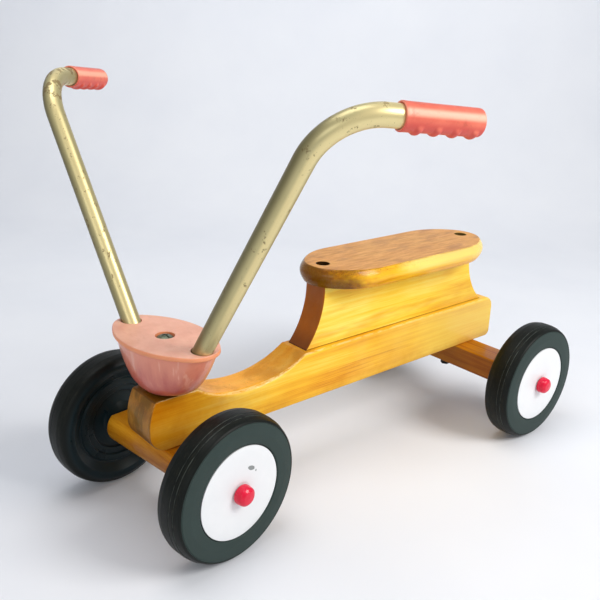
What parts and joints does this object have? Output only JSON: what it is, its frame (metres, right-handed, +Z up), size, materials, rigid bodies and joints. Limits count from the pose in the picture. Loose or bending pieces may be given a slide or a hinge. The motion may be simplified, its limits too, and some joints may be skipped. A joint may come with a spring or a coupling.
{
  "type": "ride-on toy",
  "caption": "Low wooden ride-on for a small child: narrow beam body with a raised seat board, hub-mounted steering bars with finger grips, and dished plastic wheels.",
  "frame": {"origin": "on the ground plane, straight below the steering axis", "axes": "+Z up, +Y towards the rear, +X the rider's left; the front axle is turned 6.2 degrees to the left at rest"},
  "size_m": [0.5192, 0.6292, 0.4465],
  "materials": {
    "beam_wood": "clear lacquered, worn",
    "riser_wood": "clear lacquered, worn",
    "seat_wood": "worn lacquer",
    "block_wood": "clear lacquered, scratched",
    "seat_screw_steel": "dark, rusted",
    "hub_screw_steel": "plated, spotted",
    "bolt_steel": "black",
    "axle_steel": "plain steel",
    "column_steel": "turned",
    "washer_plastic": "dark nylon",
    "lid_plastic": "satin, faded",
    "hub_plastic": "satin, faded",
    "bar_metal": "champagne metallic, rusted",
    "grip_plastic": "soft, faded",
    "tyre_rubber": "satin black",
    "disc_plastic": "white, worn",
    "cap_plastic": "glossy",
    "bush_plastic": "natural nylon"
  },
  "bodies": {
    "frame": {"main_beam": "beam_wood", "seat_riser": "riser_wood", "seat_board": "seat_wood", "seat_screws": "seat_screw_steel", "riser_screws": "seat_screw_steel", "rear_axle_block": "block_wood", "rear_block_bolts": "bolt_steel", "column_bush": "bush_plastic", "rear_axle": "axle_steel", "rear_left_spacer": "bush_plastic", "rear_right_spacer": "bush_plastic", "rear_left_cap": "cap_plastic", "rear_right_cap": "cap_plastic"},
    "steering": {"block_washer": "washer_plastic", "hub_washer": "washer_plastic", "steering_post": "column_steel", "hub_screw": "hub_screw_steel", "front_axle_block": "block_wood", "hub_lid": "lid_plastic", "hub_bowl": "hub_plastic", "handlebar_tube_left": "bar_metal", "handlebar_tube_right": "bar_metal", "grip_left": "grip_plastic", "grip_right": "grip_plastic", "front_axle": "axle_steel", "front_left_spacer": "bush_plastic", "front_right_spacer": "bush_plastic", "front_left_cap": "cap_plastic", "front_right_cap": "cap_plastic"},
    "front_left_wheel": {"front_left_tyre": "tyre_rubber", "front_left_disc": "disc_plastic", "front_left_bush": "bush_plastic"},
    "front_right_wheel": {"front_right_tyre": "tyre_rubber", "front_right_disc": "disc_plastic", "front_right_bush": "bush_plastic"},
    "rear_left_wheel": {"rear_left_tyre": "tyre_rubber", "rear_left_disc": "disc_plastic", "rear_left_bush": "bush_plastic"},
    "rear_right_wheel": {"rear_right_tyre": "tyre_rubber", "rear_right_disc": "disc_plastic", "rear_right_bush": "bush_plastic"}
  },
  "joints": [
    {"name": "steering_turn", "type": "hinge", "parent": "frame", "child": "steering", "pos_m": [0, 0, 0.0762], "axis": [0, 0, 1], "range_deg": [-36, 23]},
    {"name": "front_left_wheel_spin", "type": "hinge", "parent": "steering", "child": "front_left_wheel", "pos_m": [0.08979, 0.01328, 0.0762], "axis": [0.9942, 0.108, 0], "continuous": true},
    {"name": "front_right_wheel_spin", "type": "hinge", "parent": "steering", "child": "front_right_wheel", "pos_m": [-0.10009, -0.00735, 0.0762], "axis": [0.9942, 0.108, 0], "continuous": true},
    {"name": "rear_left_wheel_spin", "type": "hinge", "parent": "frame", "child": "rear_left_wheel", "pos_m": [0.1267, 0.4691, 0.0762], "axis": [1, 0, 0], "continuous": true},
    {"name": "rear_right_wheel_spin", "type": "hinge", "parent": "frame", "child": "rear_right_wheel", "pos_m": [-0.1267, 0.4691, 0.0762], "axis": [1, 0, 0], "continuous": true}
  ]
}
